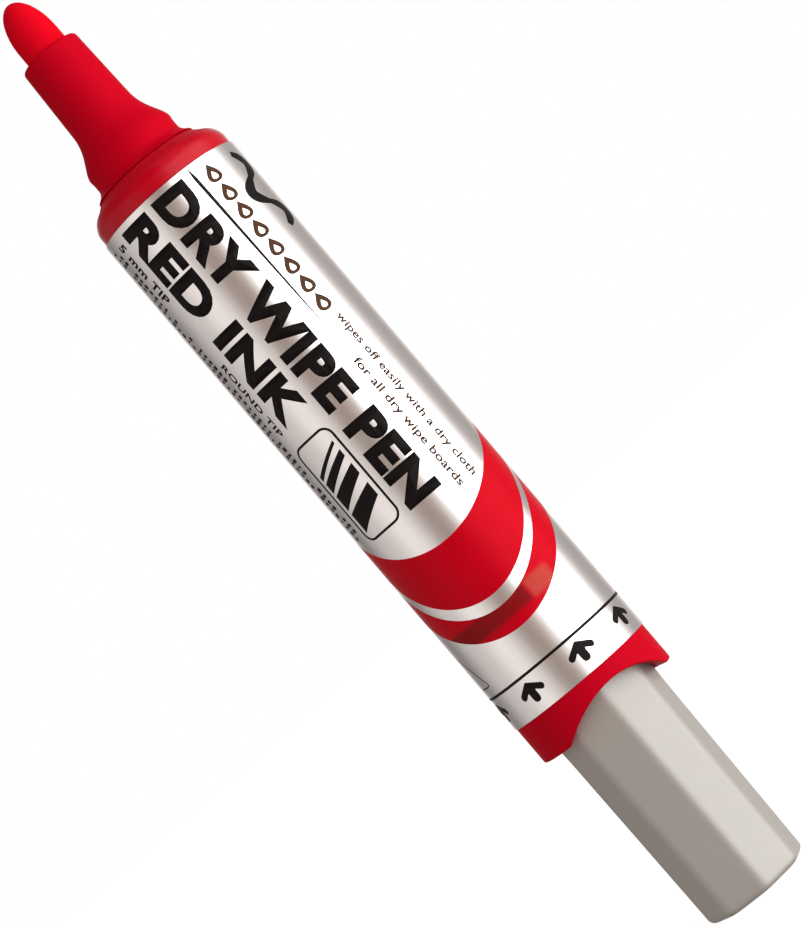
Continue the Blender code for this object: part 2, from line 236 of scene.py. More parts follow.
def red_print_finish(name, window):
    """Transparent red ink over the silver film, with or without the ink window; in the window the
    colour holds painted shade on the left and a painted pink highlight on the right.
    """
    f = Finish(name)
    cloud = f.grain(1.6, 3.0)
    drawn = f.grain(0.10, 3.0, 0.6, stretch=40.0)
    colour = f.mix(cloud, (0.52, 0.0005, 0.009, 1.0), (0.59, 0.001, 0.012, 1.0))
    metallic = 0.05
    roughness = 0.26 + drawn * 0.06
    if window:
        inside = f.z.rise(39.1, 39.9) * (1.0 - f.z.rise(41.3, 42.1))
        # Painted light by angle about the axis: the window's left is painted dark as shade, its
        # right pale pink as a painted highlight.
        dark = inside * (1.0 - f.turn().rise(8.0, 14.0))
        painted_highlight = inside * f.turn().rise(10.0, 15.0) * (1.0 - f.turn().rise(30.0, 37.0))
        streaks = f.grain(0.9, 4.0, 0.6, stretch=0.25)
        shade = f.mix(streaks, (0.09, 0.006, 0.005, 1.0), (0.26, 0.012, 0.012, 1.0))
        # Mixes in the painted shade colour on the left, then the painted pink highlight on the
        # right.
        colour = f.mix(dark * (0.6 + streaks * 0.4), colour, shade)
        colour = f.mix(painted_highlight * (0.35 + streaks * 0.4), colour, (0.50, 0.10, 0.07, 1.0))
        metallic = 0.05 - inside * 0.05
    return f.close(Base_Color=colour, Metallic=metallic, Roughness=roughness,
                   Specular_IOR_Level=0.035, Normal=f.bump(drawn, 0.001))


def ink_finish(name, dark, light, metallic, gloss):
    """Printing ink, slightly uneven where it has sunk into the film."""
    f = Finish(name)
    cover = f.grain(0.35, 4.0, 0.6)
    pores = f.grain(0.06, 2.0, 0.6)
    colour = f.mix(cover, dark, light)
    return f.close(Base_Color=colour, Metallic=metallic, Roughness=gloss + pores * 0.12,
                   Specular_IOR_Level=0.06, Normal=f.bump(pores, 0.002))


def fibre_finish():
    f = Finish("ink_soaked_fibre")
    fibres = f.grain(0.12, 5.0, 0.7, stretch=6.0)
    colour = f.mix(fibres, (0.30, 0.004, 0.010, 1.0), (0.66, 0.05, 0.06, 1.0))
    return f.close(Base_Color=colour, Roughness=0.8 + fibres * 0.15, Normal=f.bump(fibres, 0.06))


def rubber_finish():
    f = Finish("seal_rubber")
    dust = f.grain(0.3, 4.0, 0.6)
    colour = f.mix(dust.rise(0.45, 0.75), (0.012, 0.012, 0.013, 1.0), (0.05, 0.05, 0.05, 1.0))
    return f.close(Base_Color=colour, Roughness=0.55 + dust * 0.2, Normal=f.bump(dust, 0.006))


def wire_finish():
    f = Finish("spring_wire")
    drawn = f.grain(0.05, 3.0, 0.6, stretch=0.3)
    colour = f.mix(drawn, (0.42, 0.42, 0.44, 1.0), (0.68, 0.68, 0.70, 1.0))
    return f.close(Base_Color=colour, Metallic=1.0, Roughness=0.22 + drawn * 0.15,
                   Normal=f.bump(drawn, 0.003))


# ---------------------------------------------------------------- shapes

def place(radius, degrees, height):
    """A point at an angle from the printed side; radius and height in mm."""
    angle = math.radians(degrees)
    return Vector((radius * math.sin(angle), -radius * math.cos(angle), height)) * MM


def add_piece(name, mesh, finish, body, replaced=()):
    """Links a finished mesh, lets it ride on its body and stand for CAD nodes."""
    mesh.materials.clear()
    mesh.materials.append(finish)
    piece = bpy.data.objects.new(name, mesh)
    COLLECTION.objects.link(piece)
    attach(piece, body)
    if replaced:
        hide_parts(*replaced)
    return piece


def skin(name, loops, ring=False, crease=35.0):
    """Skins a stack of loops; a loop of one point closes an end."""
    mesh = bpy.data.meshes.new(name)
    shell = bmesh.new()
    rows = [[shell.verts.new(point) for point in loop] for loop in loops]
    if ring:
        rows.append(rows[0])
    for low, high in zip(rows, rows[1:]):
        count = max(len(low), len(high))
        for step in range(count):
            after = (step + 1) % count
            corners = [low[step % len(low)], low[after % len(low)],
                       high[after % len(high)], high[step % len(high)]]
            shell.faces.new(list(dict.fromkeys(corners)))
    bmesh.ops.recalc_face_normals(shell, faces=shell.faces)
    shell.to_mesh(mesh)
    shell.free()
    mesh.shade_smooth()
    mesh.set_sharp_from_angle(angle=math.radians(crease))
    return mesh


def eased(outline, steps=5):
    """Rounds the corners of an outline whose points are (radius, height, rounding)."""
    points = []
    count = len(outline)
    for index, (radius, height, rounding) in enumerate(outline):
        corner = Vector((radius, height))
        if not rounding:
            points.append(tuple(corner))
            continue
        before = Vector(outline[index - 1][:2]) - corner
        after = Vector(outline[(index + 1) % count][:2]) - corner
        reach = min(rounding, before.length * 0.45, after.length * 0.45)
        start = corner + before.normalized() * reach
        end = corner + after.normalized() * reach
        for step in range(steps + 1):
            t = step / steps
            s = 1.0 - t
            points.append(tuple(start * s * s + corner * 2.0 * s * t + end * t * t))
    return points


def arc(centre, size, start, end, steps):
    """Points on an elliptical arc, in degrees from the outward direction."""
    turns = [math.radians(start + (end - start) * step / steps) for step in range(steps + 1)]
    return [(centre[0] + size[0] * math.cos(turn), centre[1] + size[1] * math.sin(turn), 0.0)
            for turn in turns]


def flare(start, start_pull, end_pull, end, steps):
    """Points on a cubic curve."""
    points = []
    for step in range(steps + 1):
        t = step / steps
        s = 1.0 - t
        weights = (s ** 3, 3.0 * s * s * t, 3.0 * s * t * t, t ** 3)
        corners = (start, start_pull, end_pull, end)
        points.append(tuple(sum(w * c[axis] for w, c in zip(weights, corners))
                            for axis in (0, 1)) + (0.0,))
    return points


def turned(name, outline, ring=True, facets=FINE):
    """Turns an outline about the marker's axis."""
    loops = []
    for radius, height in outline:
        spread = facets if radius > 0.0 else 1
        loops.append([place(radius, 360.0 * step / spread, height) for step in range(spread)])
    return skin(name, loops, ring)


# ---------------------------------------------------------------- sizes from the frame

def reach(node):
    """(bottom, top, radius) of a CAD node, in mm."""
    low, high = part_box(node)
    return low.z / MM, high.z / MM, high.x / MM


NIB_BOTTOM, NIB_TOP, NIB_RADIUS = reach("nib")
NOZZLE_BOTTOM, NOZZLE_TOP, FLANGE_RADIUS = reach("nozzle")
COLLAR_BOTTOM, _, COLLAR_RADIUS = reach("front_collar")
LABEL_BOTTOM, LABEL_TOP, LABEL_RADIUS = reach("label")
SKIRT_BOTTOM, SKIRT_TOP, SKIRT_RADIUS = reach("rear_collar")
BUTTON_TOP = reach("pump_button")[1]
FILM_RADIUS = LABEL_RADIUS - 0.012
PRINT_TOP = LABEL_RADIUS - 0.003 - FILM_RADIUS
PRINT_BOTTOM = -0.004


# ---------------------------------------------------------------- moulded pieces

def make_nib(finish):
    """Round-nosed felt rod whose surface is slightly uneven."""
    nose_length, tail_radius = 5.1, 1.5
    shoulder = NIB_BOTTOM + 12.7
    nose = arc((0.0, NIB_TOP - nose_length), (NIB_RADIUS, nose_length), 0.0, 84.0, 26)
    outline = [(0.0, NIB_BOTTOM, 0.0), (tail_radius, NIB_BOTTOM, 0.1),
               (tail_radius, shoulder - 1.0, 0.0), (NIB_RADIUS, shoulder, 0.2),
               (NIB_RADIUS, NIB_TOP - 7.0, 0.0), *nose, (0.0, NIB_TOP, 0.0)]
    mesh = turned("nib_felt", eased(outline, 3), ring=False, facets=96)
    for vertex in mesh.vertices:
        worn = 0.5 + 0.5 * noise.noise(vertex.co / (0.55 * MM))
        vertex.co.xy *= 1.0 - 0.012 * worn
    return add_piece("nib_felt", mesh, finish, "marker", ["nib"])


def make_nozzle(finish):
    """Nib holder: slight taper, hollow flare, sealing ridge and land, and a thin
    flange that runs out from the land in a hollow curve."""
    neck = (3.94, NOZZLE_TOP - 8.75)
    ridge = (5.66, NOZZLE_TOP - 13.7)
    land, rim = 5.59, FLANGE_RADIUS
    rim_height = NOZZLE_TOP - 16.36
    mouth, spigot, chamber, bore = 3.63, 5.35, 4.3, 2.64
    chamber_top, bore_bottom = 101.1, 103.2
    groove, groove_bottom, groove_top = 4.9, 96.1, 96.9
    sweep = flare(neck, (neck[0] + 0.06, neck[1] - 2.4), (ridge[0] - 0.06, ridge[1] + 1.1),
                  ridge, 22)
    hollow = flare((land, rim_height + 1.25), (land + 0.03, rim_height + 0.75),
                   (land + 0.4, rim_height + 0.4), (rim - 0.03, rim_height + 0.06), 12)
    outline = [(bore, NOZZLE_TOP, 0.12), (mouth, NOZZLE_TOP, 0.42), *sweep,
               (land, ridge[1] - 0.55, 0.15), *hollow, (rim, rim_height, 0.03),
               (rim - 0.2, rim_height - 0.09, 0.05), (spigot, rim_height - 0.12, 0.0),
               (spigot, groove_top, 0.0), (groove, groove_top, 0.0),
               (groove, groove_bottom, 0.0), (spigot, groove_bottom, 0.0),
               (spigot, NOZZLE_BOTTOM, 0.2), (chamber, NOZZLE_BOTTOM, 0.2),
               (chamber, chamber_top, 0.1), (bore, bore_bottom, 0.1)]
    mesh = turned("nozzle_moulding", eased(outline))
    return add_piece("nozzle_moulding", mesh, finish, "marker", ["nozzle"])


def make_front_collar(finish):
    """Domed shoulder that rises from the label to the nozzle's flange."""
    centre, size = (6.05, 99.1), (2.74, 2.42)
    bore, plug, step, top = 5.5, 7.6, 97.8, 101.95
    dome = arc(centre, size, 62.0, 0.0, 22)
    lip = flare((6.4, top), (6.62, top - 0.09), (6.85, top - 0.33), dome[0][:2], 8)
    outline = [(bore, top, 0.1), *lip, *dome[1:],
               (COLLAR_RADIUS, step, 0.0), (plug, step, 0.0), (plug, COLLAR_BOTTOM, 0.3),
               (bore, COLLAR_BOTTOM, 0.2)]
    mesh = turned("front_collar_moulding", eased(outline))
    return add_piece("front_collar_moulding", mesh, finish, "marker", ["front_collar"])


def make_label(finish):
    """Silver film sleeve with softly rolled ends and a butted seam at the back."""
    inside = LABEL_RADIUS - 0.08
    outline = [(inside, LABEL_BOTTOM, 0.02), (FILM_RADIUS, LABEL_BOTTOM, 0.05),
               (FILM_RADIUS, LABEL_BOTTOM + 0.6, 0.0), (FILM_RADIUS, LABEL_TOP - 0.6, 0.0),
               (FILM_RADIUS, LABEL_TOP, 0.05), (inside, LABEL_TOP, 0.02)]
    mesh = turned("label_film", eased(outline, 4), facets=480)
    for vertex in mesh.vertices:
        behind = abs(math.atan2(vertex.co.x, vertex.co.y))
        outer = vertex.co.xy.length > (FILM_RADIUS - 0.02) * MM
        if outer and behind < math.radians(0.5):
            vertex.co.xy *= 1.0 - 0.045 / FILM_RADIUS
    return add_piece("label_film", mesh, finish, "marker", ["label"])


def scallop(radius, degrees):
    """How far a round cutter laid across the skirt has lifted its edge, in mm."""
    cutter, depth, heading = 10.02, 2.85, 15.0
    across = radius * math.sin(math.radians(degrees - heading))
    return max(0.0, math.sqrt(cutter ** 2 - across ** 2) - (cutter - depth))


def eased_scallop(radius, degrees):
    """The same edge with its corners rounded, as a mould leaves them."""
    spread = (-1.6, -0.8, 0.0, 0.8, 1.6)
    return sum(scallop(radius, degrees + step) for step in spread) / len(spread)


def make_rear_collar(finish):
    """Skirt around the pump button, cut across by a round cutter into two ears."""
    plug, bore, top = 7.6, 7.05, 30.0
    under = [(bore + share * (SKIRT_RADIUS - bore), SKIRT_BOTTOM, 0.0) for share in (0.3, 0.5, 0.7)]
    edge = eased([(plug, SKIRT_TOP, 0.0), (bore, SKIRT_TOP, 0.1), (bore, SKIRT_BOTTOM, 0.12),
                  *under, (SKIRT_RADIUS, SKIRT_BOTTOM, 0.2), (SKIRT_RADIUS, top, 0.0),
                  (plug, top, 0.0)])
    facets = 360
    loops = []
    for radius, height in edge:
        share = max(0.0, min(1.0, (top - 0.6 - height) / (top - 0.6 - SKIRT_BOTTOM)))
        loops.append([place(radius, degrees, height + eased_scallop(radius, degrees) * share)
                      for degrees in range(facets)])
    mesh = skin("rear_collar_moulding", loops, ring=True)
    return add_piece("rear_collar_moulding", mesh, finish, "marker", ["rear_collar"])


def octagon(corner, rounding, arc_steps=8, flat_steps=3):
    """(radius, degrees) around an octagon with rounded corners."""
    half = 22.5
    inset = corner - rounding / math.cos(math.radians(half))
    points = []
    for side in range(8):
        heading = 5.8 + side * 45.0
        for step in range(arc_steps + 1):
            turn = heading - half + 2.0 * half * step / arc_steps
            points.append(place(inset, heading, 0.0) + place(rounding, turn, 0.0))
        following = heading + 45.0
        start = points[-1]
        end = place(inset, following, 0.0) + place(rounding, following - half, 0.0)
        points += [start.lerp(end, step / flat_steps) for step in range(1, flat_steps)]
    return points


def make_button(finish):
    """Hollow octagonal key, tapering towards its flat end."""
    corners = ((2.4, 6.65), (8.0, 6.72), (14.0, 6.79), (23.0, 6.91), (25.5, 7.0), (35.4, 7.0))
    end_corner, end_round, edge_round = 6.64, 0.85, 1.8
    foot = arc((end_corner - end_round, end_round), (end_round, end_round), -90.0, -6.0, 9)
    sections = [(height, corner, edge_round + (end_corner - corner) * 0.9)
                for corner, height, _ in foot]
    sections += [(height, corner, edge_round) for height, corner in corners]
    directions = octagon(end_corner, edge_round)

    def ring(radius, height):
        return [point.normalized() * radius * MM + Vector((0.0, 0.0, height * MM))
                for point in directions]

    dimple = 0.12
    dish = ((1.2, dimple), (1.35, 0.05), (3.2, 0.05), (3.6, 0.0))
    groove, groove_bottom, groove_top, lip = 5.95, 35.6, 37.2, 6.5
    cavity, web_top = 5.2, 1.6
    boss, boss_top, socket = 2.6, 8.0, 1.5
    inner = ((groove, groove_bottom), (groove, groove_top), (lip, groove_top), (lip, BUTTON_TOP),
             (cavity, BUTTON_TOP), (cavity, web_top), (boss, web_top), (boss, boss_top),
             (socket, boss_top), (socket, web_top))
    loops = [[Vector((0.0, 0.0, dimple * MM))]]
    loops += [ring(radius, height) for radius, height in dish]
    loops += [[point + Vector((0.0, 0.0, height * MM)) for point in octagon(corner, rounding)]
              for height, corner, rounding in sections]
    loops += [ring(radius, height) for radius, height in inner]
    loops.append([Vector((0.0, 0.0, web_top * MM))])
    mesh = skin("pump_button_key", loops, crease=40.0)
    return add_piece("pump_button_key", mesh, finish, "pump", ["pump_button"])


# ---------------------------------------------------------------- geometry trees

def open_tree(name, sizes):
    """A geometry tree with named inputs; returns its sheet and a wire for each input."""
    tree = bpy.data.node_groups.new(name, "GeometryNodeTree")
    tree.interface.new_socket("Geometry", in_out="OUTPUT", socket_type="NodeSocketGeometry")
    for label, kind in sizes.items():
        tree.interface.new_socket(label, in_out="INPUT", socket_type=f"NodeSocket{kind}")
    sheet = Sheet(tree)
    entry = sheet.add("NodeGroupInput").socket.node
    return sheet, {label: Wire(sheet, entry.outputs[label]) for label in sizes}


def close_tree(sheet, geometry, finish):
    """Ends a tree in Realize Instances and Set Material."""
    solid = sheet.add("GeometryNodeRealizeInstances", None, {0: geometry})
    painted = sheet.add("GeometryNodeSetMaterial", None, {"Geometry": solid, "Material": finish})
    sheet.add("NodeGroupOutput", None, {0: painted})
    return sheet.tree


def grow(tree, name, source=None, **sizes):
    """Runs a geometry tree on a mesh and returns the result as a plain mesh."""
    holder = bpy.data.objects.new(name, source or bpy.data.meshes.new(name))
    COLLECTION.objects.link(holder)
    modifier = holder.modifiers.new("tree", "NODES")
    modifier.node_group = tree
    for socket in tree.interface.items_tree:
        if socket.in_out == "INPUT" and socket.name in sizes:
            modifier[socket.identifier] = sizes[socket.name]
    view = bpy.context.evaluated_depsgraph_get()
    mesh = bpy.data.meshes.new_from_object(holder.evaluated_get(view))
    mesh.name = name
    bpy.data.objects.remove(holder)
    return mesh


def wrap_tree():
    """Bends a flat print around the barrel: X is the arc, Y the height off the film."""
    sheet, size = open_tree("wrap_round_barrel", {
        "Print": "Geometry", "Radius": "Float", "Turn": "Float", "Ink": "Material"})
    spot = sheet.add("GeometryNodeInputPosition")
    along, off, height = sheet.split(spot)
    angle = along / size["Radius"] + size["Turn"]
    out = size["Radius"] + off
    bent = sheet.join(out * angle.sine(), -(out * angle.cosine()), height)
    moved = sheet.add("GeometryNodeSetPosition", None,
                      {"Geometry": size["Print"], "Position": bent})
    return close_tree(sheet, moved, size["Ink"])


def row_tree():
    """Copies one flat mark at even steps along the arc."""
    sheet, size = open_tree("row_of_marks", {
        "Mark": "Geometry", "Count": "Int", "Step": "Vector", "Ink": "Material"})
    line = sheet.add("GeometryNodeMeshLine", {"mode": "OFFSET"},
                     {"Count": size["Count"], "Offset": size["Step"]})
    copies = sheet.add("GeometryNodeInstanceOnPoints", None,
                       {"Points": line, "Instance": size["Mark"]})
    return close_tree(sheet, copies, size["Ink"])


def fine_print_tree():
    """A line of tiny strokes of uneven width, like print too small to read."""
    sheet, size = open_tree("fine_print_line", {
        "Mark": "Geometry", "Count": "Int", "Step": "Vector", "Seed": "Int", "Ink": "Material"})
    line = sheet.add("GeometryNodeMeshLine", {"mode": "OFFSET"},
                     {"Count": size["Count"], "Offset": size["Step"]})
    chance = sheet.add("FunctionNodeRandomValue", {"data_type": "BOOLEAN"},
                       {"Probability": 0.84, "Seed": size["Seed"]}, output=3)
    stretch = sheet.add("FunctionNodeRandomValue", {"data_type": "FLOAT_VECTOR"},
                        {0: (0.55, 1.0, 0.45), 1: (1.0, 1.0, 1.0), "Seed": size["Seed"]})
    copies = sheet.add("GeometryNodeInstanceOnPoints", None,
                       {"Points": line, "Selection": chance, "Instance": size["Mark"],
                        "Scale": stretch})
    return close_tree(sheet, copies, size["Ink"])


def band_tree():
    """A printed band around the barrel whose two edges rise and fall once a turn."""
    sheet, size = open_tree("slanted_band", {
        "Radius": "Float", "Thickness": "Float",
        "Top": "Float", "Top Swing": "Float", "Top Turn": "Float",
        "Bottom": "Float", "Bottom Swing": "Float", "Bottom Turn": "Float", "Ink": "Material"})
    columns, rows = 289, 5
    grid = sheet.add("GeometryNodeMeshGrid", None,
                     {"Size X": 1.0, "Size Y": 1.0, "Vertices X": columns, "Vertices Y": rows})
    along, across, _ = sheet.split(sheet.add("GeometryNodeInputPosition"))
    angle = (along + 0.5) * CIRCLE
    # The rows go once round the band's section: rows 1 and 2 are its top, 2 and 3 its face.
    corner = (across + 0.5) * (rows - 1.0)
    upper = corner.over(0.5) * (1.0 - corner.over(2.5))
    outer = corner.over(1.5) * (1.0 - corner.over(3.5))
    top = size["Top"] - size["Top Swing"] * (angle - size["Top Turn"]).cosine()
    bottom = size["Bottom"] - size["Bottom Swing"] * (angle - size["Bottom Turn"]).cosine()
    height = bottom + (top - bottom) * upper
    out = size["Radius"] + size["Thickness"] * outer
    bent = sheet.join(out * angle.sine(), -(out * angle.cosine()), height)
    moved = sheet.add("GeometryNodeSetPosition", None, {"Geometry": grid, "Position": bent})
    closed = sheet.add("GeometryNodeMergeByDistance", None, {"Geometry": moved, "Distance": 1e-7})
    return close_tree(sheet, closed, size["Ink"])


def coil_tree():
    """Round wire wound into a compression spring that stands on z = 0."""
    sheet, size = open_tree("wound_spring", {
        "Radius": "Float", "Wire": "Float", "Height": "Float", "Turns": "Float",
        "Metal": "Material"})
    path = sheet.add("GeometryNodeCurveSpiral", None,
                     {"Resolution": 48, "Rotations": size["Turns"], "Start Radius": size["Radius"],
                      "End Radius": size["Radius"], "Height": size["Height"]})
    section = sheet.add("GeometryNodeCurvePrimitiveCircle", None,
                        {"Resolution": 16, "Radius": size["Wire"]})
    wire = sheet.add("GeometryNodeCurveToMesh", None,
                     {"Curve": path, "Profile Curve": section, "Fill Caps": True})
    return close_tree(sheet, wire, size["Metal"])


# ---------------------------------------------------------------- flat prints

def flat_mesh(name, shapes):
    """Flat faces from closed outlines of (arc, height) points, in mm."""
    mesh = bpy.data.meshes.new(name)
    sheet = bmesh.new()
    for outline in shapes:
        sheet.faces.new([sheet.verts.new((x * MM, 0.0, z * MM)) for x, z in outline])
    sheet.to_mesh(mesh)
    sheet.free()
    return mesh


def lettering(text, weight, spacing):
    """A line of plain letters as a flat mesh in X and Y, from (0, 0) to (1, 1)."""
    curve = bpy.data.curves.new("letters", "FONT")
    curve.body = text
    curve.offset = weight
    curve.space_character = spacing
    curve.resolution_u = 5
    holder = bpy.data.objects.new("letters", curve)
    COLLECTION.objects.link(holder)
    view = bpy.context.evaluated_depsgraph_get()
    mesh = bpy.data.meshes.new_from_object(holder.evaluated_get(view))
    bpy.data.objects.remove(holder)
    low = Vector(min(v.co[axis] for v in mesh.vertices) for axis in range(3))
    high = Vector(max(v.co[axis] for v in mesh.vertices) for axis in range(3))
    for vertex in mesh.vertices:
        vertex.co.x = (vertex.co.x - low.x) / (high.x - low.x)
        vertex.co.y = (vertex.co.y - low.y) / (high.y - low.y)
    return mesh


def lay_lettering(mesh, turns, heights):
    """Lays letters on the flat print: they read down the barrel, tops to the right."""
    left, right = (math.radians(turn) * FILM_RADIUS for turn in turns)
    start, end = heights
    for vertex in mesh.vertices:
        reading, rise, _ = vertex.co
        arc_place = left + (right - left) * rise
        vertex.co = Vector((arc_place, 0.0, start + (end - start) * reading)) * MM


def thicken(mesh):
    """Cuts a flat print into narrow strips, so that it bends, and gives it a thickness."""
    sheet = bmesh.new()
    sheet.from_mesh(mesh)
    bmesh.ops.remove_doubles(sheet, verts=sheet.verts, dist=1e-7)
    low = min(vertex.co.x for vertex in sheet.verts)
    high = max(vertex.co.x for vertex in sheet.verts)
    strip = 0.3 * MM
    for step in range(1, int((high - low) / strip) + 1):
        geometry = sheet.verts[:] + sheet.edges[:] + sheet.faces[:]
        bmesh.ops.bisect_plane(sheet, geom=geometry, dist=1e-8,
                               plane_co=(low + step * strip, 0.0, 0.0), plane_no=(1.0, 0.0, 0.0))
    for vertex in sheet.verts:
        vertex.co.y = PRINT_BOTTOM * MM
    raised = bmesh.ops.extrude_face_region(sheet, geom=sheet.faces[:])["geom"]
    for item in raised:
        if isinstance(item, bmesh.types.BMVert):
            item.co.y = PRINT_TOP * MM
    bmesh.ops.recalc_face_normals(sheet, faces=sheet.faces)
    sheet.to_mesh(mesh)
    sheet.free()
    return mesh


def add_print(name, mesh, finish, turn=0.0):
    """Bends a flat print around the barrel and sticks it on the label."""
    thicken(mesh)
    bent = grow(WRAP, name, mesh, Radius=FILM_RADIUS * MM, Turn=math.radians(turn), Ink=finish)
    sheet = bmesh.new()
    sheet.from_mesh(bent)
    bmesh.ops.recalc_face_normals(sheet, faces=sheet.faces)
    sheet.to_mesh(bent)
    sheet.free()
    return add_piece(name, bent, finish, "marker")


def around(degrees):
    """Distance along the arc of the film for an angle about the axis, in mm."""
    return math.radians(degrees) * FILM_RADIUS


def print_lettering(finish):
    """Plain wording: what the pen is, its ink, its tip and two notes on its use."""
    black, brown = finish["black_ink"], finish["bronze_ink"]
    lines = (
        ("print_heading_long", "DRY WIPE PEN", 0.054, 1.07, (-14.5, 13.8), (97.36, 54.9), black),
        ("print_heading_short", "RED INK", 0.054, 1.07, (-47.6, -20.35), (97.3, 70.0), black),
        ("print_note_right", "wipes off easily with a dry cloth", 0.026, 1.04,
         (33.1, 41.6), (75.87, 53.56), brown),
        ("print_note_left", "for all dry wipe boards", 0.026, 1.04,
         (20.4, 28.5), (70.95, 53.53), brown),
        ("print_tip_size", "5 mm TIP", 0.03, 1.06, (-60.8, -53.1), (96.7, 88.68), black),
        ("print_tip_shape", "ROUND TIP", 0.026, 1.06, (-59.8, -54.0), (79.8, 69.92), black),
    )
    for name, text, weight, spacing, turns, heights, ink in lines:
        letters = lettering(text, weight, spacing)
        lay_lettering(letters, turns, heights)
        add_print(name, letters, ink)


def arrow_outline():
    """A blunt arrow that points up: two swept wings and a short round-ended stem."""
    wing = [(0.0, 1.24), (0.14, 1.18), (1.56, 0.29), (1.70, 0.10), (1.72, -0.08), (1.62, -0.30),
            (1.44, -0.42), (1.22, -0.40), (0.58, 0.04), (0.50, -0.02), (0.50, -0.78),
            (0.40, -1.08), (0.20, -1.22), (0.0, -1.25)]
    return [(-x, z) for x, z in reversed(wing[1:-1])] + wing


def print_arrows(finish):
    """Eight arrows around the rear of the label, pointing to the tip."""
    height = LABEL_BOTTOM + 2.38
    mark = flat_mesh("arrow", [[(x, z + height) for x, z in arrow_outline()]])
    step = (CIRCLE / 8.0 * FILM_RADIUS * MM, 0.0, 0.0)
    row = grow(ROW, "arrow_row", mark, Count=8, Step=step, Ink=finish)
    add_print("print_arrows", row, finish, turn=12.5)


def print_fine_lines(finish):
    """Rows of tiny strokes at the left and at the back, down the barrel."""
    long, tall, pitch = 0.42, 0.28, 0.82
    stroke = flat_mesh("stroke", [[(-long, -tall), (long, -tall), (long, tall), (-long, tall)]])
    lines = ((-67.0, 97.0, 50), (-73.1, 97.0, 50), (112.0, 92.0, 31), (119.0, 92.0, 28),
             (126.0, 92.0, 32), (133.0, 92.0, 20), (147.0, 92.0, 30), (154.0, 92.0, 28),
             (161.0, 92.0, 17))
    for index, (turn, start, count) in enumerate(lines):
        row = grow(FINE_PRINT, "stroke_row", stroke, Count=count, Step=(0.0, 0.0, -pitch * MM),
                   Seed=index + 3, Ink=finish)
        row.transform(Matrix.Translation((0.0, 0.0, (start - 0.4) * MM)))
        add_print(f"print_fine_line_{index + 1}", row, finish, turn=turn)


def stroke_along(points, widths):
    """A flat stroke along (arc, height) points, as wide as given at each of them."""
    left, right = [], []
    for index, (x, z) in enumerate(points):
        before = Vector(points[max(index - 1, 0)])
        after = Vector(points[min(index + 1, len(points) - 1)])
        side = (after - before).orthogonal().normalized() * (widths[index] / 2.0)
        left.append((x + side.x, z + side.y))
        right.append((x - side.x, z - side.y))
    return left + right[::-1]


def print_wave(finish):
    """A plain wavy black stroke that is thickest at its bends."""
    steps, waves = 48, 1.5
    heading, swing, top, length = 61.0, 10.5, 96.6, 9.9
    points, widths = [], []
    for step in range(steps + 1):
        share = step / steps
        sway = math.sin(share * CIRCLE * waves)
        points.append((around(heading + swing * sway), top - length * share))
        widths.append(0.7 + 0.9 * abs(sway))
    add_print("print_wave", flat_mesh("wave", [stroke_along(points, widths)]), finish)


def print_ornament(finish):
    """A tapering black line and a row of plain outlined drops in bronze."""
    points = [(around(21.0 + 2.8 * share), 97.78 - 21.4 * share)
              for share in (0.0, 0.06, 0.2, 0.5, 0.8, 1.0)]
    taper = stroke_along(points, (0.06, 0.42, 0.40, 0.32, 0.22, 0.08))
    add_print("print_taper", flat_mesh("taper", [taper]), finish["black_ink"])
    edge = []
    for step in range(17):
        turn = math.pi * step / 16.0
        edge.append((1.3 * math.sin(turn) * math.sin(turn / 2.0) ** 1.4, 1.15 * math.cos(turn)))
    core = [(0.42 * x, 0.42 * z - 0.3) for x, z in edge]
    halves = [[(side * x, z) for x, z in edge + core[::-1]] for side in (1, -1)]
    row = grow(ROW, "drop_row", flat_mesh("drop", halves), Count=8, Step=(0.0, 0.0, -2.56 * MM),
               Ink=finish["bronze_ink"])
    row.transform(Matrix.Translation((0.0, 0.0, 95.9 * MM)))
    add_print("print_drops", row, finish["bronze_ink"], turn=34.2)


def rounded_frame(low, high, line, rounding):
    """Two flat halves of a rounded outline between (arc, height) corners."""
    middle_x, middle_z = (low[0] + high[0]) / 2.0, (low[1] + high[1]) / 2.0
    straight_x = (high[0] - low[0]) / 2.0 - rounding
    straight_z = (high[1] - low[1]) / 2.0 - rounding

    def half_loop(side, inset):
        bend = rounding - inset
        points = [(middle_x, high[1] - inset)]
        for quarter, corner in enumerate((straight_z, -straight_z)):
            for step in range(7):
                turn = math.radians(90.0 * (quarter + step / 6.0))
                points.append((middle_x + side * (straight_x + bend * math.sin(turn)),
                               middle_z + corner + bend * math.cos(turn)))
        return [*points, (middle_x, low[1] + inset)]

    return [half_loop(side, 0.0) + half_loop(side, line)[::-1] for side in (-1, 1)]


def print_pictogram(finish):
    """A plain rounded frame with slanting bars, and a thin corner line near the rear."""
    low, high = (around(-59.0), 55.0), (around(-19.5), 67.8)
    shapes = rounded_frame(low, high, 0.28, 1.3)
    margin, slope, taper = 0.75, 0.48, 0.7
    left, right = low[0] + margin, high[0] - margin
    for bottom, thick in ((56.2, 2.5), (59.2, 2.0), (61.6, 1.3), (63.3, 0.6)):
        rise = (right - left) * slope
        shapes.append([(left, bottom), (right, bottom + rise),
                       (right, bottom + rise + thick * taper), (left, bottom + thick)])
    add_print("print_pictogram", flat_mesh("pictogram", shapes), finish)
    path = ((-78.0, 39.5), (-75.5, 39.0), (-71.0, 37.9), (-64.5, 36.2), (-62.6, 35.7),
            (-62.4, 35.48), (-63.4, 35.34), (-67.0, 35.28), (-78.0, 35.3))
    line = stroke_along([(around(turn), height) for turn, height in path], (0.15,) * len(path))
    add_print("print_corner", flat_mesh("corner", [line]), finish)


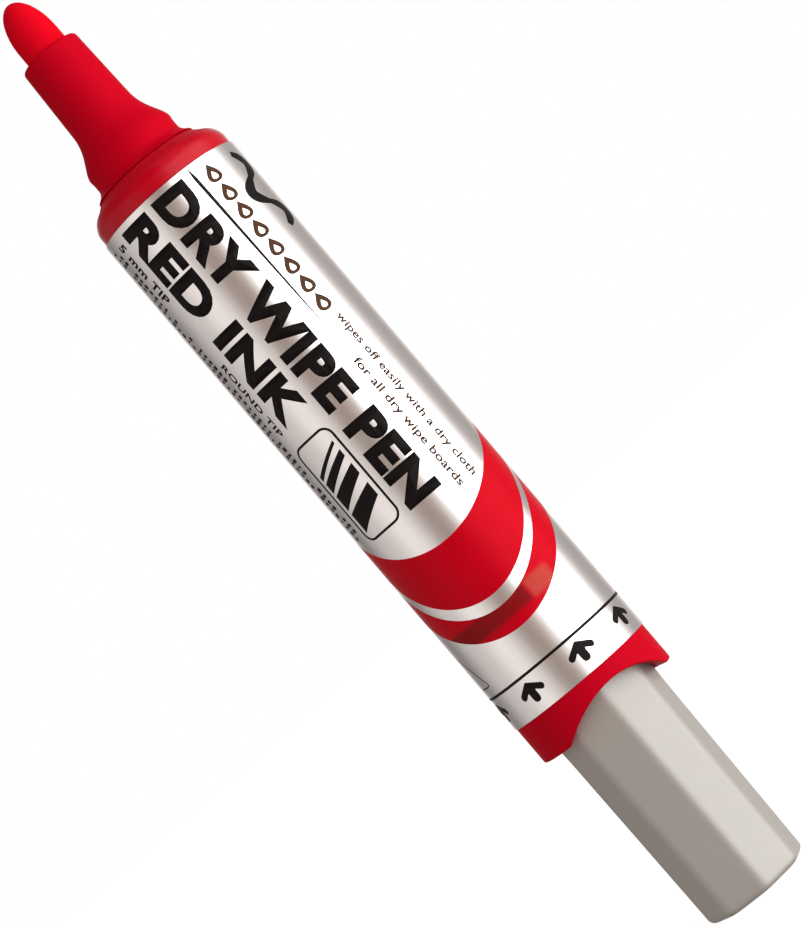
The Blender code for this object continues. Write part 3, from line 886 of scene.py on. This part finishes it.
def print_bands(finish):
    """Two slanted red bands; the lower one crosses the ink window."""
    bands = (
        ("print_band_upper", "red_print", (57.62, 7.42, -8.2), (52.52, 9.89, -7.5)),
        ("print_band_lower", "red_window", (51.04, 9.87, -8.1), (46.16, 7.98, -6.9)),
    )
    for name, ink, top, bottom in bands:
        sizes = {"Radius": (FILM_RADIUS + PRINT_BOTTOM) * MM,
                 "Thickness": (PRINT_TOP - PRINT_BOTTOM) * MM,
                 "Top": top[0] * MM, "Top Swing": top[1] * MM, "Top Turn": math.radians(top[2]),
                 "Bottom": bottom[0] * MM, "Bottom Swing": bottom[1] * MM,
                 "Bottom Turn": math.radians(bottom[2]), "Ink": finish[ink]}
        mesh = grow(BAND, name, None, **sizes)
        mesh.shade_smooth()
        mesh.set_sharp_from_angle(angle=math.radians(40.0))
        add_piece(name, mesh, finish[ink], "marker")


def ring_line(name, height, half, finish):
    """A thin line printed all the way round."""
    low, high = FILM_RADIUS + PRINT_BOTTOM, FILM_RADIUS + PRINT_TOP
    outline = [(low, height - half), (high, height - half),
               (high, height + half), (low, height + half)]
    mesh = turned(name, outline, facets=256)
    return add_piece(name, mesh, finish, "marker")


# ---------------------------------------------------------------- inner pieces

def add_spring(name, node, radius, wire, turns, finish):
    """A wound spring as tall as its CAD node, carried on the marker's body."""
    low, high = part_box(node)
    mesh = grow(COIL, name, None, Radius=radius * MM, Wire=wire * MM,
                Height=high.z - low.z - 2.0 * wire * MM, Turns=turns, Metal=finish)
    mesh.transform(Matrix.Translation((0.0, 0.0, low.z + wire * MM)))
    mesh.shade_smooth()
    spring = add_piece(name, mesh, finish, "marker", [node])
    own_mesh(spring)
    return spring


def dress_inner_pieces(finish):
    """The pieces inside keep their CAD shape and get their own finishes."""
    looks = {
        "natural": ["valve_housing", "valve_stem", "valve_cage", "barrel", "tank_plug",
                    "pump_cylinder", "retaining_ring", "pump_rod", "piston"],
        "rubber": ["nozzle_seal", "housing_seal", "valve_washer", "plug_seal", "outlet_flap",
                   "piston_seal"],
        "fibre": ["nib_buffer"],
    }
    for look, names in looks.items():
        for name in names:
            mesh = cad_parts[name].data
            mesh.materials.clear()
            mesh.materials.append(finish[look])


# ---------------------------------------------------------------- studio

def make_camera():
    """Close to the marker and a little below its middle, looking slightly upwards,
    and rolled so that the tip points up and left."""
    distance, aside, height, aim_height = 320.0, 0.38, 49.13, 59.53
    tilt = math.atan((aim_height - height) / distance)
    forward = Vector((0.0, math.cos(tilt), math.sin(tilt)))
    level = Vector((1.0, 0.0, 0.0))
    upright = level.cross(forward)
    roll = math.radians(40.42)
    right = level * math.cos(roll) - upright * math.sin(roll)
    up = level * math.sin(roll) + upright * math.cos(roll)
    camera = bpy.data.objects.new("camera", bpy.data.cameras.new("camera"))
    camera.matrix_world = Matrix((right, up, -forward)).transposed().to_4x4()
    camera.location = Vector((aside, -distance, height)) * MM
    camera.data.lens = 114.87
    camera.data.clip_start = 0.01
    COLLECTION.objects.link(camera)
    bpy.context.scene.camera = camera


def make_floor():
    """A plain floor that shows white and throws no light on the marker."""
    mesh = bpy.data.meshes.new("floor")
    reach_out = 4.0
    corners = [(-reach_out, -reach_out, 0.0), (reach_out, -reach_out, 0.0),
               (reach_out, reach_out, 0.0), (-reach_out, reach_out, 0.0)]
    mesh.from_pydata(corners, [], [(0, 1, 2, 3)])
    f = Finish("white_floor")
    material = f.close(Base_Color=(0.3, 0.3, 0.3, 1.0), Roughness=1.0,
                       Emission_Color=(1.0, 1.0, 1.0, 1.0), Emission_Strength=0.9)
    mesh.materials.append(material)
    floor = bpy.data.objects.new("floor", mesh)
    COLLECTION.objects.link(floor)
    floor.visible_glossy = False
    floor.visible_diffuse = False


# Soft light panels that stand round the marker: heading from the front towards the
# right, half width and soft edge, all in degrees, and brightness.
PANELS = {
    "key": (56.0, 28.0, 19.0, 0.76),
    "glow round the key": (52.0, 20.0, 60.0, 0.13),
    "fill": (-47.0, 4.0, 36.0, 0.13),
    "left side": (-78.0, 14.0, 50.0, 0.135),
    "right side": (118.0, 24.0, 24.0, 0.06),
    "back": (177.0, 4.0, 28.0, 0.28),
}
ROOM_LIGHT = 0.07
STUDIO_STRENGTH = 3.55


def in_panel(degrees, heading, half, edge):
    """1 inside a soft-edged panel, 0 outside it."""
    away = abs((degrees - heading + 180.0) % 360.0 - 180.0)
    share = max(0.0, min(1.0, (away - half) / edge))
    return 1.0 - share * share * (3.0 - 2.0 * share)


def studio_colour(degrees):
    """The light that comes from one direction: warm in the gap at the front, white in the key."""
    light = ROOM_LIGHT
    for heading, half, edge, brightness in PANELS.values():
        light += brightness * in_panel(degrees, heading, half, edge)
    warmth = 0.3 + 0.7 * in_panel(degrees, -8.0, 4.0, 26.0)
    warmth *= 1.0 - in_panel(degrees, *PANELS["key"][:3])
    return (light, light * (1.0 - 0.22 * warmth), light * (1.0 - 0.33 * warmth), 1.0)


def make_studio():
    """Soft studio light from all round, and a white background for the camera."""
    world = bpy.data.worlds.new("studio")
    bpy.context.scene.world = world
    world.use_nodes = True
    sheet = Sheet(world.node_tree)
    direction = sheet.add("ShaderNodeTexCoord", None, None, output="Generated")
    x, y, z = sheet.split(direction)
    angle = sheet.add("ShaderNodeMath", {"operation": "ARCTAN2"}, {0: x, 1: -y})
    ramp_wire = sheet.add("ShaderNodeValToRGB", None, {"Fac": angle / CIRCLE + 0.5})
    ramp = ramp_wire.socket.node.color_ramp
    ramp.interpolation = "B_SPLINE"
    stops = 30
    while len(ramp.elements) < stops:
        ramp.elements.new(1.0)
    for index, element in enumerate(ramp.elements):
        element.position = index / stops
        element.color = studio_colour(360.0 * index / stops - 180.0)
    strength = STUDIO_STRENGTH * (1.0 - 0.8 * abs(z).rise(0.25, 0.8))
    light = sheet.add("ShaderNodeBackground", None, {"Color": ramp_wire, "Strength": strength})
    white = sheet.add("ShaderNodeBackground", None,
                      {"Color": (1.0, 1.0, 1.0, 1.0), "Strength": 1.0})
    seen = sheet.add("ShaderNodeLightPath", None, None, output="Is Camera Ray")
    both = sheet.add("ShaderNodeMixShader", None, {0: seen, 1: light, 2: white})
    sheet.add("ShaderNodeOutputWorld", None, {"Surface": both})


def set_view():
    settings = bpy.context.scene.view_settings
    settings.view_transform = "Standard"
    settings.look = "None"


# ---------------------------------------------------------------- assembly

WRAP = wrap_tree()
ROW = row_tree()
FINE_PRINT = fine_print_tree()
BAND = band_tree()
COIL = coil_tree()

RED_DARK = (0.48, 0.0005, 0.010, 1.0)
RED_LIGHT = (0.54, 0.0010, 0.013, 1.0)
GREY_DARK = (0.36, 0.338, 0.304, 1.0)
GREY_LIGHT = (0.40, 0.376, 0.340, 1.0)
NATURAL_DARK = (0.66, 0.65, 0.61, 1.0)
NATURAL_LIGHT = (0.78, 0.77, 0.74, 1.0)
BLACK_DARK = (0.006, 0.005, 0.005, 1.0)
BLACK_LIGHT = (0.014, 0.010, 0.009, 1.0)
BRONZE_DARK = (0.050, 0.022, 0.010, 1.0)
BRONZE_LIGHT = (0.095, 0.042, 0.020, 1.0)

finishes = {
    "nozzle": moulded_plastic("nozzle_red", RED_DARK, RED_LIGHT, 0.50, 0.015),
    "front": moulded_plastic("front_collar_red", RED_DARK, RED_LIGHT, 0.12, 0.14, 99.9),
    "rear": moulded_plastic("rear_collar_red", RED_DARK, RED_LIGHT, 0.45, 0.02),
    "grey": moulded_plastic("button_grey", GREY_DARK, GREY_LIGHT, 0.32, 0.9),
    "natural": moulded_plastic("natural_plastic", NATURAL_DARK, NATURAL_LIGHT, 0.45, 0.4),
    "felt": felt_finish(),
    "film": film_finish(),
    "red_print": red_print_finish("red_print", window=False),
    "red_window": red_print_finish("red_print_with_window", window=True),
    "black_ink": ink_finish("black_ink", BLACK_DARK, BLACK_LIGHT, 0.0, 0.30),
    "bronze_ink": ink_finish("bronze_ink", BRONZE_DARK, BRONZE_LIGHT, 0.1, 0.40),
    "fibre": fibre_finish(),
    "rubber": rubber_finish(),
    "wire": wire_finish(),
}

make_camera()
make_floor()
make_studio()
set_view()

make_nib(finishes["felt"])
make_nozzle(finishes["nozzle"])
make_front_collar(finishes["front"])
make_label(finishes["film"])
make_rear_collar(finishes["rear"])
make_button(finishes["grey"])

print_bands(finishes)
print_lettering(finishes)
print_arrows(finishes["black_ink"])
print_fine_lines(finishes["black_ink"])
print_wave(finishes["black_ink"])
print_ornament(finishes)
print_pictogram(finishes["black_ink"])
ring_line("print_ring_line", LABEL_BOTTOM + 4.28, 0.16, finishes["black_ink"])

add_spring("pump_spring_coil", "pump_spring", 2.9, 0.3, 9.0, finishes["wire"])
add_spring("valve_spring_coil", "valve_spring", 1.6, 0.2, 4.0, finishes["wire"])
dress_inner_pieces(finishes)
